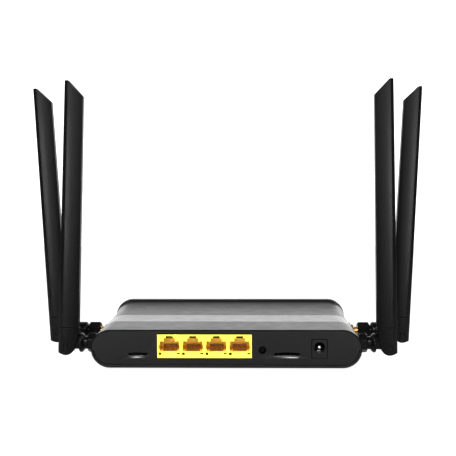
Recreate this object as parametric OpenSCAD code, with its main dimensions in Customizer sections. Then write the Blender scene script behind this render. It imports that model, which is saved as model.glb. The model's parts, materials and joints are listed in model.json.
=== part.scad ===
// Desktop wireless router: a two-shell casing with a rear socket panel, and four hinged side antennas.
// Frame: +Z up, resting surface at z = 0, rear socket panel faces -Y, +X is to the right seen from the rear.

/* [Casing] */
// Width of the casing across its rounded sides
body_w = 162; // [156:1:170]
// Depth of the casing from rear panel to front panel
body_d = 105; // [104:1:110]
// Height of the casing at the rear, which is also the diameter of its rounded sides
body_h = 23; // [22.5:0.5:24]
// How much higher the front crest stands than the rear
front_rise = 4; // [2:0.5:4]
// Height of the rubber feet under the casing
foot_h = 1.2; // [1:0.2:2]
// Wall thickness of the covers
wall = 1.6; // [1.4:0.1:1.8]

/* [Sockets] */
// Distance between two network ports
port_pitch = 14; // [13.9:0.1:14.1]
// Sideways position of the middle of the network port block
ports_x = -12.85; // [-13:0.05:-12]
// Sideways position of the power jack
power_x = 55.6; // [55:0.1:56]
// Sideways position of the reset button
reset_x = 21.7; // [21:0.1:22]
// Sideways position of the SIM card slot
sim_x = 36.45; // [36:0.05:37]
// Sideways position of the memory card slot
card_x = -52.75; // [-53:0.05:-52]

/* [Antennas] */
// Height of the antenna jacks above the resting surface
jack_z = 11.75; // [11.6:0.05:12.4]
// Depth position of the rear pair of antenna jacks
rear_jack_y = -27.6; // [-28:0.1:-27]
// Depth position of the front pair of antenna jacks
front_jack_y = 14.2; // [14:0.1:15]
// Length of an antenna above its hinge pin
antenna_len = 165; // [120:5:180]
// Width of an antenna blade at its base
blade_w = 12.5; // [12.5:0.1:13]
// Thickness of an antenna blade at its base
blade_t = 8.6; // [8.4:0.1:9]
// Outward lean of the rear left antenna, in degrees
lean_rear_left = -2.0; // [-2:0.1:5]
// Outward lean of the rear right antenna, in degrees
lean_rear_right = -1.1; // [-2:0.1:5]
// Outward lean of the front left antenna, in degrees
lean_front_left = 3.3; // [0.5:0.1:5]
// Outward lean of the front right antenna, in degrees
lean_front_right = 2.7; // [0.5:0.1:5]

/* [Hidden] */
SIDES = ["left", "right"];
PAIRS = ["rear", "front"];

// Casing
side_x = body_w / 2;
rear_y = -body_d / 2;
front_y = body_d / 2;
corner_r = body_h / 2 - 0.05;
base_z = foot_h;
top_z = base_z + body_h;
crest_z = top_z + front_rise;
parting_z = jack_z;
crease_y = rear_y + 82;
crest_y = front_y - 4.6;
arc_steps = 16;
seam = 0.15;
panel_t = 2;
panel_setback = 0.3;
ledge_w = 1;
upper_lip = 0.5;

// Glossy strip across the top
strip_y0 = rear_y + 29.4;
strip_y1 = rear_y + 55.7;
strip_depth = 0.7;
strip_foot_z = 17.5;

// Circuit board and what stands on it
board_top = 7.3;
board_t = 1.6;
board_w = 124;
board_y0 = rear_y + 2.6;
board_y1 = 41.5;
board_screw_at = [[-57, -33], [57, -33], [-57, 35], [57, 35]];
cover_screw_at = [[-66, -43], [66, -43], [-66, 40], [66, 40]];
foot_at = [[-56, -42], [56, -42], [-56, 38], [56, 38]];
foot_r = 4.5;
keyhole_pitch = 90;
keyhole_r = 4;
keyhole_slot_r = 2.1;
keyhole_slot_len = 6;

// Network ports
ports_w = 56.4;
ports_h = 14;
ports_depth = 21;
ports_face_y = rear_y - 0.2;
port_w = 11.6;
port_floor = 11.1;
port_h = 6.2;
port_depth = 12.5;
port_xs = [for (i = [0 : 3]) ports_x + (i - 1.5) * port_pitch];
wire_pitch = 1.02;
wire_run = 7;

// Power jack, reset button, card slots
jack_w = 9;
jack_h = 11;
jack_depth = 14.2;
jack_hole_r = 3.1;
jack_hole_z = board_top + 6.3;
jack_pin_r = 1;
reset_z = 12;
reset_r = 1.75;
reset_hole_r = 2.3;
sim_w = 15.3;
sim_z = 9.3;
card_w = 11.3;
card_z = 9.05;
slot_z = 9.4;
slot_half = 0.85;
scoop_z = 8.65;
scoop_h = 4.3;

// Front lights
light_count = 7;
light_pitch = 8;
light_z = 10.6;
light_r = 1.1;
light_xs = [for (i = [0 : light_count - 1]) (i - (light_count - 1) / 2) * light_pitch];

// Antenna jacks, per pair: rear, front
jack_ys = [rear_jack_y, front_jack_y];
boss_x = side_x + 0.2;
boss_r = 5.7;
thread_r = 3.15;
nut_start = [81.6, 86.1];
nut_end = [86.9, 94];
jack_end = [84.5, 90.5];
skirt_end = [83.7, 86.1];
nut_r = 6;
nut_flats = 10.6;
neck_r = 4;
collar_x0 = [89.3, 95.1];
collar_x1 = [92.3, 107.3];
collar_bevel = [1.4, 0.9];
pin_x = [for (x = collar_x1) x + 8.3];
pin_drop = 1.9;
pin_z = jack_z - pin_drop;
pin_r = 1.4;
tongue_t = 4.2;
tongue_r = 3.3;
slot_t = 4.6;
blade_in = blade_w - 5;
blade_out = 5;
seam_up = 11.8;
leans = [[lean_rear_left, lean_rear_right], [lean_front_left, lean_front_right]];

// ---------- helpers ----------

// Draws a shape given in X and Z, and runs it along Y from y0 to y1.
module along_y(y0, y1) {
    translate([0, y1, 0]) rotate([90, 0, 0]) linear_extrude(y1 - y0) children();
}

// A rod along Y.
module rod_y(x, z, y0, y1, r, fn = 48) {
    translate([x, y1, z]) rotate([90, 0, 0]) cylinder(h = y1 - y0, r = r, $fn = fn);
}

// A rod along +X from x0 to x1.
module rod_x(x0, x1, y, z, r, r2 = -1, fn = 64) {
    translate([x0, y, z]) rotate([0, 90, 0])
        cylinder(h = x1 - x0, r1 = r, r2 = r2 < 0 ? r : r2, $fn = fn);
}

// A box from its lowest corner to its highest.
module block(lo, hi) {
    translate(lo) cube(hi - lo);
}

// Puts a child at every [x, y] of a list, at height z.
module at_each(points, z = 0) {
    for (p = points) translate([p[0], p[1], z]) children();
}

// Mirrors the children to the left side when side is 0.
module on_side(side) {
    if (side == 0) mirror([1, 0, 0]) children();
    else children();
}

// A rounded rectangle from four circles and two squares, so that its arcs stay true.
module rounded_box_2d(x0, x1, z0, z1, r) {
    for (x = [x0 + r, x1 - r], z = [z0 + r, z1 - r]) translate([x, z]) circle(r, $fn = 96);
    translate([x0 + r, z0]) square([x1 - x0 - 2 * r, z1 - z0]);
    if (z1 - z0 > 2 * r + 0.001) translate([x0, z0 + r]) square([x1 - x0, z1 - z0 - 2 * r]);
}

// ---------- casing form ----------

// Section of the casing, inset by a wall, with its top raised by rise.
module casing_section(inset, rise) {
    rounded_box_2d(-side_x + inset, side_x - inset, base_z + inset, top_z + rise - inset,
        corner_r - inset);
}

// The roof's hollow ramp from the crease to the crest, which ends in a steep lip: pairs of depth and climb,
// both as fractions.
ramp = [[0, 0], [0.163, 0.05], [0.326, 0.118], [0.473, 0.198], [0.603, 0.285], [0.712, 0.375], [0.799, 0.463],
    [0.859, 0.538], [0.897, 0.605], [0.924, 0.688], [0.946, 0.8], [0.962, 0.905], [0.978, 0.97], [1, 1]];

// How far the roof has climbed at depth y.
function climb(y) = front_rise * lookup((y - crease_y) / (crest_y - crease_y), ramp);

// Points of the casing's section at depth y, inset by a wall, in order round its four corners.
function section_ring(inset, y) = let (r = corner_r - inset, roof = top_z + climb(y))
    [for (c = [[1, -1], [1, 1], [-1, 1], [-1, -1]], i = [0 : arc_steps])
        let (turn = c[0] * c[1] > 0 ? 90 * i / arc_steps : 90 - 90 * i / arc_steps)
        [c[0] * (side_x - corner_r + r * cos(turn)), y,
            (c[1] > 0 ? roof - corner_r : base_z + corner_r) + c[1] * r * sin(turn)]];

// The whole form of the casing from y0 to y1, inset by a wall.
module casing_form(inset, y0, y1) {
    climb_ys = [for (p = ramp) crease_y + (crest_y - crease_y) * p[0]];
    ys = concat([y0], climb_ys, [y1]);
    n = 4 * (arc_steps + 1);
    rings = [for (y = ys) each section_ring(inset, y)];
    sides = [for (j = [0 : len(ys) - 2], i = [0 : n - 1])
        let (a = j * n + i, b = j * n + (i + 1) % n) [a, b, b + n, a + n]];
    polyhedron(rings, concat([[for (i = [n - 1 : -1 : 0]) i]],
        sides, [[for (i = [0 : n - 1]) (len(ys) - 1) * n + i]]));
}

// A shallow rim inside the casing that the rear panel rests against.
module panel_ledge(y0, y1) {
    difference() {
        along_y(y0, y1) casing_section(wall - 0.3, 0);
        along_y(y0 - 1, y1 + 1) casing_section(wall + ledge_w, 0);
    }
}

// Everything of both covers except bosses, before they are parted.
module casing_shell() {
    difference() {
        casing_form(0, rear_y, front_y);
        casing_form(wall, rear_y - 5, front_y + 5);
    }
    panel_ledge(rear_y + panel_setback + panel_t + 0.1, rear_y + panel_setback + panel_t + 1.1);
    // stop ribs for the front panel, on the floor and under the roof
    for (z = [base_z + wall - 0.2, crest_z - wall - 1.2])
        block([-60, front_y - panel_setback - panel_t - 1.3, z],
            [60, front_y - panel_setback - panel_t - 0.1, z + 1.3]);
}

// Pads round the four antenna jacks.
module jack_pads() {
    for (side = [0, 1], y = jack_ys) on_side(side) rod_x(side_x - 3.8, boss_x, y, jack_z, boss_r);
}

// Holes for the four antenna jacks.
module jack_holes() {
    for (side = [0, 1], y = jack_ys) on_side(side)
        rod_x(side_x - 6, boss_x + 1, y, jack_z, thread_r + 0.15);
}

// Half space above or below the parting line.
module above_parting() {
    block([-120, -80, parting_z], [120, 80, 60]);
}
module below_parting() {
    block([-120, -80, -20], [120, 80, parting_z]);
}

// ---------- covers ----------

module bottom_cover() {
    color([0.06, 0.06, 0.065]) difference() {
        union() {
            intersection() {
                union() {
                    casing_shell();
                    jack_pads();
                }
                below_parting();
            }
            // posts that carry the circuit board
            at_each(board_screw_at, base_z + wall - 0.2)
                cylinder(h = board_top - board_t - base_z - wall + 0.2, r = 2.8, $fn = 48);
            // columns that the cover screws pass through
            at_each(cover_screw_at, base_z + wall - 0.2)
                cylinder(h = parting_z - base_z - wall + 0.2, r = 3.2, $fn = 48);
        }
        jack_holes();
        at_each(board_screw_at, base_z + wall) cylinder(h = 20, r = 0.95, $fn = 32);
        at_each(cover_screw_at, base_z - 1) cylinder(h = 30, r = 1.6, $fn = 32);
        at_each(cover_screw_at, base_z - 1) cylinder(h = 1 + 4, r = 2.7, $fn = 48);
        at_each(foot_at, base_z - 1) cylinder(h = 1.6, r = foot_r + 0.1, $fn = 64);
        // wall-hanging keyholes
        for (x = [-keyhole_pitch / 2, keyhole_pitch / 2]) translate([x, 0, base_z - 1]) {
            cylinder(h = wall + 2, r = keyhole_r, $fn = 64);
            translate([0, keyhole_slot_len, 0]) cylinder(h = wall + 2, r = keyhole_slot_r, $fn = 48);
            translate([-keyhole_slot_r, 0, 0])
                cube([2 * keyhole_slot_r, keyhole_slot_len, wall + 2]);
        }
        // ventilation slots
        for (i = [-7 : 7], y = [-26, 12])
            translate([i * 4.4 - 0.9, y, base_z - 1]) cube([1.8, 16, wall + 2]);
    }
}

module top_cover() {
    color([0.06, 0.06, 0.065]) difference() {
        union() {
            intersection() {
                union() {
                    casing_shell();
                    jack_pads();
                }
                above_parting();
            }
            // bosses that the cover screws bite into, the front ones longer to reach the higher roof
            for (p = cover_screw_at) translate([p[0], p[1], parting_z + 0.1])
                cylinder(h = top_z - wall - parting_z + (p[1] > 0 ? 1.6 : 0.1), r = 3.2, $fn = 48);
        }
        jack_holes();
        at_each(cover_screw_at, parting_z - 1) cylinder(h = 7, r = 1.15, $fn = 32);
        // rebate that lets the rear panel reach almost to the outer skin
        along_y(rear_y - 1, rear_y + panel_setback + panel_t + 0.1)
            casing_section(upper_lip, 0);
        // seat of the glossy strip
        difference() {
            along_y(strip_y0, strip_y1) casing_section(-1, 0);
            along_y(strip_y0 - 1, strip_y1 + 1) casing_section(strip_depth, 0);
            block([-120, -80, -20], [120, 80, strip_foot_z]);
        }
    }
}

module top_trim_strip() {
    color([0.12, 0.12, 0.13]) difference() {
        along_y(strip_y0 + 0.1, strip_y1 - 0.1) casing_section(0, 0);
        along_y(strip_y0 - 1, strip_y1 + 1) casing_section(strip_depth - 0.05, 0);
        block([-120, -80, -20], [120, 80, strip_foot_z + 0.1]);
    }
}

// A finger scoop: a shallow ring-shaped cut across the face of the rear panel.
module finger_scoop(x, z, width, height) {
    depth = 1.1;
    r = (height * height / 4 + depth * depth) / (2 * depth);
    ring_r = ((width * width / 4) / depth + depth) / 2 - r;
    translate([x, rear_y + panel_setback - ring_r - r + depth, z])
        rotate_extrude($fn = 128) translate([ring_r, 0]) circle(r, $fn = 48);
}

module rear_panel() {
    y0 = rear_y + panel_setback;
    y1 = y0 + panel_t;
    port_gap = 0.4;
    gap = 0.3;
    color([0.05, 0.05, 0.055]) difference() {
        union() {
            intersection() {
                along_y(y0, y1) casing_section(upper_lip + seam, 0);
                translate([0, 0, 0.15]) above_parting();
            }
            along_y(y0, y1) casing_section(wall + seam, 0);
        }
        block([ports_x - ports_w / 2 - port_gap, y0 - 1, board_top - port_gap],
            [ports_x + ports_w / 2 + port_gap, y1 + 1, board_top + ports_h + port_gap]);
        block([power_x - jack_w / 2 - gap, y0 - 1, board_top - gap],
            [power_x + jack_w / 2 + gap, y1 + 1, board_top + jack_h + gap]);
        rod_y(reset_x, reset_z, y0 - 1, y1 + 1, reset_hole_r);
        for (slot = [[sim_x, sim_w], [card_x, card_w]]) {
            finger_scoop(slot[0], scoop_z, slot[1] + 0.6, scoop_h);
            block([slot[0] - slot[1] / 2, y0 - 1, slot_z - slot_half],
                [slot[0] + slot[1] / 2, y1 + 1, slot_z + slot_half]);
        }
    }
}

module front_panel() {
    y1 = front_y - panel_setback;
    color([0.02, 0.02, 0.025]) difference() {
        along_y(y1 - panel_t, y1) casing_section(wall + seam, front_rise);
        for (x = light_xs) rod_y(x, light_z, y1 - panel_t - 1, y1 + 1, light_r + 0.05);
    }
}

module rubber_feet() {
    color([0.1, 0.1, 0.1]) at_each(foot_at) cylinder(h = base_z + 0.6, r = foot_r, $fn = 64);
}

module cover_screws() {
    color("silver") at_each(cover_screw_at) difference() {
        union() {
            translate([0, 0, base_z + 2.4]) cylinder(h = 1.6, r = 2.4, $fn = 48);
            translate([0, 0, base_z + 4]) cylinder(h = 12.4, r = 1.1, $fn = 32);
        }
        for (a = [0, 90]) rotate(a) translate([-1.4, -0.3, base_z + 2.3]) cube([2.8, 0.6, 1]);
    }
}

// ---------- circuit board ----------

module circuit_board() {
    color([0.05, 0.3, 0.14]) difference() {
        block([-board_w / 2, board_y0, board_top - board_t], [board_w / 2, board_y1, board_top]);
        at_each(board_screw_at, 0) cylinder(h = 20, r = 1.4, $fn = 32);
    }
}

module board_screws() {
    color("silver") at_each(board_screw_at) difference() {
        union() {
            translate([0, 0, board_top]) cylinder(h = 1.4, r = 2.3, $fn = 48);
            translate([0, 0, board_top - board_t - 2.6]) cylinder(h = board_t + 2.6, r = 0.9, $fn = 32);
        }
        for (a = [0, 90]) rotate(a) translate([-1.3, -0.3, board_top + 0.8]) cube([2.6, 0.6, 1]);
    }
}

// The hollow of one network port, as a plug sees it.
module port_hollow(x) {
    y0 = ports_face_y - 1;
    y1 = ports_face_y + port_depth;
    block([x - port_w / 2, y0, port_floor], [x + port_w / 2, y1, port_floor + port_h]);
    block([x - port_w / 2 - 0.35, y0, port_floor + 1.4], [x + port_w / 2 + 0.35, y1 - 4, port_floor + 4.1]);
    block([x - 3.3, y0, port_floor + port_h - 0.1], [x + 3.3, y1, port_floor + port_h + 1.9]);
    block([x - 2, y0, 19.5], [x + 2, y1 - 2, 20.4]);
    block([x - port_w / 2 - 0.2, y0, 9.7], [x - port_w / 2 + 1, y1 - 6, 10.5]);
    block([x + port_w / 2 - 1.3, y0, 9.9], [x + port_w / 2 + 0.3, y1 - 6, 10.35]);
}

module lan_port_housing() {
    color([0.98, 0.85, 0.08]) difference() {
        block([ports_x - ports_w / 2, ports_face_y, board_top],
            [ports_x + ports_w / 2, ports_face_y + ports_depth, board_top + ports_h]);
        for (x = port_xs) {
            port_hollow(x);
            // comb slots that guide the contact wires
            for (i = [-3.5 : 1 : 3.5])
                block([x + i * wire_pitch - 0.32, ports_face_y + 1.2, port_floor - 0.9],
                    [x + i * wire_pitch + 0.32, ports_face_y + port_depth - 1.5, port_floor + 0.1]);
        }
    }
}

module lan_contacts() {
    color("gold") for (x = port_xs, i = [-3.5 : 1 : 3.5]) translate([x + i * wire_pitch, 0, 0]) {
        // springy slanted run of the wire, which a plug presses down
        translate([0, ports_face_y + 1.9, port_floor - 0.5]) rotate([-65, 0, 0])
            cylinder(h = wire_run, r = 0.2, $fn = 16);
        // root of the wire, lying in its comb slot
        rod_y(0, port_floor - 0.55, ports_face_y + 1.7, ports_face_y + 10.5, 0.2, 16);
    }
}

// Dark carriers that fill the sockets behind and below the slanted wires.
module lan_inserts() {
    slope = tan(25);
    under = function(y) (y - 1.9) * slope - 0.831;
    color([0.06, 0.05, 0.04]) for (x = port_xs)
        translate([x - 4.1, ports_face_y, port_floor]) rotate([90, 0, 90]) linear_extrude(8.2)
            polygon([[4, 0.03], [4, under(4)], [8.35, under(8.35)], [8.6, under(8.35)],
                [8.6, 2.9], [9.6, 2.9], [9.6, 0.03]]);
}

module lan_transformers() {
    color([0.08, 0.08, 0.08]) for (x = [ports_x - 14, ports_x + 14])
        block([x - 8, ports_face_y + 25, board_top], [x + 8, ports_face_y + 37, board_top + 5.4]);
}

module power_jack() {
    y0 = rear_y - 0.1;
    color([0.04, 0.04, 0.04]) difference() {
        union() {
            block([power_x - jack_w / 2, y0, board_top],
                [power_x + jack_w / 2, y0 + 3.4, board_top + jack_h]);
            block([power_x - jack_w / 2, y0 + 3.3, board_top],
                [power_x + jack_w / 2, y0 + jack_depth, board_top + 6.5]);
            rod_y(power_x, jack_hole_z, y0 + 3.3, y0 + jack_depth, jack_w / 2);
        }
        rod_y(power_x, jack_hole_z, y0 - 1, y0 + 11, jack_hole_r);
    }
}

module power_jack_contacts() {
    y0 = rear_y - 0.1;
    color("silver") {
        rod_y(power_x, jack_hole_z, y0 + 1.6, y0 + 11, jack_pin_r, 32);
        translate([power_x, y0 + 1.6, jack_hole_z]) rotate([90, 0, 0])
            cylinder(h = 0.5, r1 = jack_pin_r, r2 = 0.5, $fn = 32);
        block([power_x - 1, y0 + 5, jack_hole_z - 2.85], [power_x + 1, y0 + 11, jack_hole_z - 2.55]);
    }
}

module reset_switch() {
    y0 = rear_y + 4.6;
    color([0.5, 0.5, 0.52]) difference() {
        block([reset_x - 3, y0, board_top], [reset_x + 3, y0 + 3.6, board_top + 7.2]);
        rod_y(reset_x, reset_z, y0 - 1, y0 + 2.4, reset_r + 0.08);
    }
}

module reset_button() {
    color([0.03, 0.03, 0.03]) {
        rod_y(reset_x, reset_z, rear_y + 1.1, rear_y + 6.5, reset_r);
    }
}

module sim_socket() {
    y0 = rear_y + 2.6;
    color([0.06, 0.06, 0.06]) difference() {
        block([sim_x - 9, y0, board_top], [sim_x + 9, y0 + 26, board_top + 2.9]);
        block([sim_x - 7.6, y0 - 1, sim_z - 0.6], [sim_x + 7.6, y0 + 24, sim_z + 0.6]);
    }
}

module card_socket() {
    y0 = rear_y + 2.6;
    color([0.06, 0.06, 0.06]) difference() {
        block([card_x - 7, y0, board_top], [card_x + 7, y0 + 13.8, board_top + 2.6]);
        block([card_x - 5.6, y0 - 1, card_z - 0.5], [card_x + 5.6, y0 + 12.8, card_z + 0.5]);
    }
}

module processor() {
    color([0.1, 0.1, 0.1]) block([-22, 4, board_top], [-6, 20, board_top + 1.3]);
}

module heat_sink() {
    color([0.6, 0.6, 0.62]) translate([-24, 2, board_top + 1.3]) {
        cube([20, 20, 1.5]);
        for (i = [0 : 6]) translate([i * 3.1, 0, 1.4]) cube([1.4, 20, 6]);
    }
}

module memory_chips() {
    color([0.1, 0.1, 0.1]) {
        block([-40, 6, board_top], [-30, 18, board_top + 1.1]);
        block([-20, 26, board_top], [-12, 32, board_top + 1.8]);
    }
}

module modem_socket() {
    color([0.1, 0.1, 0.1]) difference() {
        block([8, -13, board_top], [38, -6, board_top + 5.4]);
        block([9, -9, board_top + 3.4], [37, -5, board_top + 4.5]);
    }
}

module modem_card() {
    color([0.05, 0.25, 0.35]) {
        difference() {
            block([9.2, -8.6, board_top + 3.45], [36.8, 38, board_top + 4.45]);
            for (x = [12, 34]) translate([x, 35.5, 0]) cylinder(h = 30, r = 1.4, $fn = 32);
        }
        block([11, -2, board_top + 4.45], [35, 30, board_top + 6.6]);
    }
}

module modem_screws() {
    color("silver") for (x = [12, 34]) translate([x, 35.5, board_top]) {
        difference() {
            cylinder(h = 3.45, r = 2.2, $fn = 32);
            translate([0, 0, -1]) cylinder(h = 6, r = 1.2, $fn = 32);
        }
        cylinder(h = 4.5, r = 1.2, $fn = 32);
        translate([0, 0, 4.45]) cylinder(h = 1.2, r = 2.2, $fn = 32);
    }
}

module power_coils() {
    color([0.2, 0.2, 0.22]) for (p = [[50, -24], [50, -14]])
        block([p[0] - 3.5, p[1] - 3.5, board_top], [p[0] + 3.5, p[1] + 3.5, board_top + 3.6]);
}

module capacitors() {
    color([0.15, 0.15, 0.2]) at_each([[42, -14], [50, -3], [-44, -16], [-52, -16]], board_top)
        cylinder(h = 8, r = 3.1, $fn = 48);
}

module status_leds() {
    color([0.8, 0.85, 0.8]) for (x = light_xs)
        block([x - 0.8, board_y1 - 1.6, board_top], [x + 0.8, board_y1 - 0.2, board_top + 0.8]);
}

module light_pipes() {
    y1 = front_y - panel_setback;
    color([0.9, 0.95, 1, 0.6]) for (x = light_xs) {
        rod_y(x, light_z, board_y1 - 0.6, y1 + 0.1, light_r, 32);
        block([x - 0.7, board_y1 - 1.5, board_top + 0.9], [x + 0.7, board_y1 + 0.6, light_z]);
    }
    // bar that ties the rods together
    color([0.9, 0.95, 1, 0.6]) difference() {
        block([light_xs[0] - 2, board_y1 + 1.5, light_z - 0.8],
            [light_xs[light_count - 1] + 2, board_y1 + 3, light_z + 0.8]);
        for (x = light_xs) rod_y(x, light_z, board_y1 + 1, board_y1 + 4, light_r, 32);
    }
}

// ---------- antenna jacks and leads ----------

module antenna_jacks() {
    color("gold") for (side = [0, 1], pair = [0, 1]) on_side(side) {
        y = jack_ys[pair];
        difference() {
            union() {
                rod_x(side_x - 6, side_x - 3.9, y, jack_z, 4.4, -1, 6);
                rod_x(side_x - 9, side_x - 6, y, jack_z, 2);
                rod_x(side_x - 4, jack_end[pair], y, jack_z, thread_r);
            }
            rod_x(jack_end[pair] - 3.6, jack_end[pair] + 1, y, jack_z, 2.35);
        }
        // centre contact, a short socket
        difference() {
            rod_x(jack_end[pair] - 3.7, jack_end[pair] - 0.6, y, jack_z, 0.8, -1, 32);
            rod_x(jack_end[pair] - 3, jack_end[pair] + 1, y, jack_z, 0.5, -1, 32);
        }
    }
}

module jack_nuts() {
    color("gold") for (side = [0, 1], pair = [0, 1]) on_side(side) difference() {
        union() {
            rod_x(boss_x, boss_x + 0.5, jack_ys[pair], jack_z, 4.6);
            translate([0, jack_ys[pair], jack_z]) rotate([30, 0, 0])
                rod_x(boss_x + 0.5, boss_x + 2.3, 0, 0, 4.4, -1, 6);
        }
        rod_x(boss_x - 1, boss_x + 3, jack_ys[pair], jack_z, thread_r + 0.03);
    }
}

// One closed tube swept along points, with a ring of sides corners at each point.
module swept_tube(points, r, sides = 8) {
    n = len(points);
    function unit(v) = v / norm(v);
    function along(i) = unit(points[min(i + 1, n - 1)] - points[max(i - 1, 0)]);
    function across(i) = unit(cross(along(i), [0.12, 0.07, 1]));
    rings = [for (i = [0 : n - 1], k = [0 : sides - 1])
        let (a = 360 * k / sides, t = along(i), u = across(i), v = cross(t, u))
        points[i] + r * (cos(a) * u + sin(a) * v)];
    walls = [for (i = [0 : n - 2], k = [0 : sides - 1])
        let (a = i * sides + k, b = i * sides + (k + 1) % sides) [a, b, b + sides, a + sides]];
    polyhedron(rings, concat([[for (k = [sides - 1 : -1 : 0]) k]], walls,
        [[for (k = [0 : sides - 1]) (n - 1) * sides + k]]));
}

lead_r = 0.65;

// Rear leads end on the board, front leads on the modem card; the left front one crosses the board.
rear_route = [[71.98, -27.6, 11.75], [69, -27.4, 11.75], [66.4, -26, 12.1], [64.6, -22.8, 12.6],
    [63, -18, 12.8], [60.5, -13, 12.6], [57, -9, 11.6], [54.5, -8, 10], [53.6, -8, 8.2], [53.6, -8, 7.6]];
front_right_route = [[71.98, 14.2, 11.75], [69, 14.4, 11.75], [66.2, 15.6, 12.4], [63.5, 18.6, 13.6],
    [59, 23, 15], [52, 27, 16], [44, 30, 16], [37.5, 31.8, 15.2], [33.4, 32, 13.8], [31.6, 32, 12.5],
    [31.4, 32, 11.9]];
front_left_route = [[-71.98, 14.2, 11.75], [-69, 14.4, 11.75], [-66.2, 15.6, 12.4], [-63.5, 18.6, 13.8],
    [-59, 23, 15.6], [-50, 28, 17], [-38, 32, 17.6], [-24, 35, 17.8], [-10, 36.6, 17.8],
    [2, 36.4, 17.2], [9, 35.2, 16.4], [13, 34, 14.8], [14.9, 33.4, 13], [15, 33.4, 11.9]];

module antenna_leads() {
    color([0.1, 0.1, 0.1]) {
        swept_tube(rear_route, lead_r);
        mirror([1, 0, 0]) swept_tube(rear_route, lead_r);
        swept_tube(front_right_route, lead_r);
        swept_tube(front_left_route, lead_r);
    }
}

// ---------- antennas, drawn for the right side ----------

// Six-sided coupling nut with rounded corners, bored for the jack and the swivel base.
module coupling_nut(pair) {
    x0 = nut_start[pair];
    x1 = nut_end[pair];
    y = jack_ys[pair];
    color([0.05, 0.05, 0.05]) difference() {
        intersection() {
            translate([0, y, jack_z]) rotate([30, 0, 0])
                rod_x(x0, x1, 0, 0, nut_flats / sqrt(3), -1, 6);
            union() {
                rod_x(x0, x0 + 0.9, y, jack_z, nut_r - 0.9, nut_r);
                rod_x(x0 + 0.9, x1 - 0.9, y, jack_z, nut_r);
                rod_x(x1 - 0.9, x1, y, jack_z, nut_r, nut_r - 0.9);
            }
        }
        rod_x(x0 - 1, x1 - 1.6, y, jack_z, thread_r + 0.05);
        rod_x(x0 - 1, x1 + 1, y, jack_z, 2.7);
        rod_x(x1 - 0.8, x1 + 1, y, jack_z, neck_r - 0.05);
        if (skirt_end[pair] > x0) rod_x(x0 - 1, skirt_end[pair], y, jack_z, 4.85);
    }
}

// Brass plug inside the nut: ferrule, retaining collar, tail and centre pin.
module connector_core(pair) {
    x1 = nut_end[pair];
    y = jack_ys[pair];
    tip = jack_end[pair] - 2.2;
    color("gold") {
        difference() {
            union() {
                rod_x(tip, x1 - 2, y, jack_z, 2.25);
                rod_x(x1 - 1.75 - 0.55, x1 - 1.75, y, jack_z, 3);
                rod_x(x1 - 2, x1 + 2, y, jack_z, 2.6);
            }
            rod_x(tip - 1, jack_end[pair], y, jack_z, 1);
        }
        rod_x(tip - 0.3, jack_end[pair] + 0.1, y, jack_z, 0.42, -1, 32);
    }
}

// The turning base of an antenna: spigot, bevelled collar and a flat tongue with the hinge bore.
module swivel_base(pair) {
    x1 = nut_end[pair];
    c0 = collar_x0[pair];
    c1 = collar_x1[pair];
    y = jack_ys[pair];
    px = pin_x[pair];
    bevel = collar_bevel[pair];
    color([0.05, 0.05, 0.05]) difference() {
        union() {
            rod_x(x1 - 0.75, x1 + 0.1, y, jack_z, neck_r - 0.15);
            rod_x(x1 + 0.05, c0, y, jack_z, neck_r);
            rod_x(c0, c0 + bevel, y, jack_z, 6 - bevel, 6);
            rod_x(c0 + bevel, c1 - 0.5, y, jack_z, 6);
            rod_x(c1 - 0.5, c1, y, jack_z, 6, 5.5);
            intersection() {
                rod_x(c1 - 0.1, px - 2, y, jack_z, neck_r);
                block([c1 - 0.1, y - tongue_t / 2, 0], [px, y + tongue_t / 2, 40]);
            }
            along_y(y - tongue_t / 2, y + tongue_t / 2) {
                polygon([[c1 - 0.1, jack_z - 3.6], [px - 3, pin_z - 1.7], [px, pin_z],
                    [px - 1, pin_z + 3.1], [px - 4.2, jack_z + 3.6], [c1 - 0.1, jack_z + 3.6]]);
                translate([px, pin_z]) circle(tongue_r, $fn = 64);
            }
        }
        rod_x(x1 - 2, x1 + 2.05, y, jack_z, 2.6);
        rod_y(px, pin_z, y - 10, y + 10, pin_r + 0.05, 64);
    }
}

module hinge_pin(pair) {
    y = jack_ys[pair];
    color("silver") rod_y(pin_x[pair], pin_z, y - blade_t / 2 + 0.85, y + blade_t / 2 - 0.85, pin_r, 64);
}

// Turns the children about the hinge pin by an outward lean.
module leaned(pair, side) {
    translate([pin_x[pair], jack_ys[pair], pin_z]) rotate([0, leans[pair][side], 0]) children();
}

// Front view of a whole antenna about its pin: x outward, y up.
module antenna_outline(grow = 0) {
    tip = antenna_len;
    taper = 0.4;
    difference() {
        union() {
            circle(5.4, $fn = 96);
            polygon([[0, 0], [5, -2.4], [5, -4], [4.65, -4.35], [1.5, -5.15], [0, -5.3]]);
            polygon([[-5.35, -0.7], [-blade_in, 6.5], [-blade_in, seam_up],
                [-blade_in + taper, tip - 9.6], [blade_out - taper - 2.3, tip],
                [blade_out - taper, tip], [blade_out, seam_up], [blade_out, -0.1], [0, -0.1]]);
        }
        translate([blade_out, -20]) square([10, seam_up + 20]);
    }
}

// Half the thickness of the blade at x: thick outside, rounded off towards the inner edge.
function blade_half(x) = blade_t / 2 - 1.6 * pow(max(0, 0.5 - x) / 8, 2.2) - 0.03 * pow(max(0, x - 0.5), 2);

// Cross-section of the blade: x outward, y along the hinge pin, with a bevel at the outer edge.
function blade_ring() =
    let (xs = [for (k = [0 : 8]) -blade_in + k, 1.7, blade_out - 2.2])
    let (face = [for (x = xs) [x, blade_half(x)]])
    concat(face, [[blade_out, 2.3], [blade_out, -2.3]],
        [for (k = [len(face) - 1 : -1 : 0]) [face[k].x, -face[k].y]]);

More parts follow.
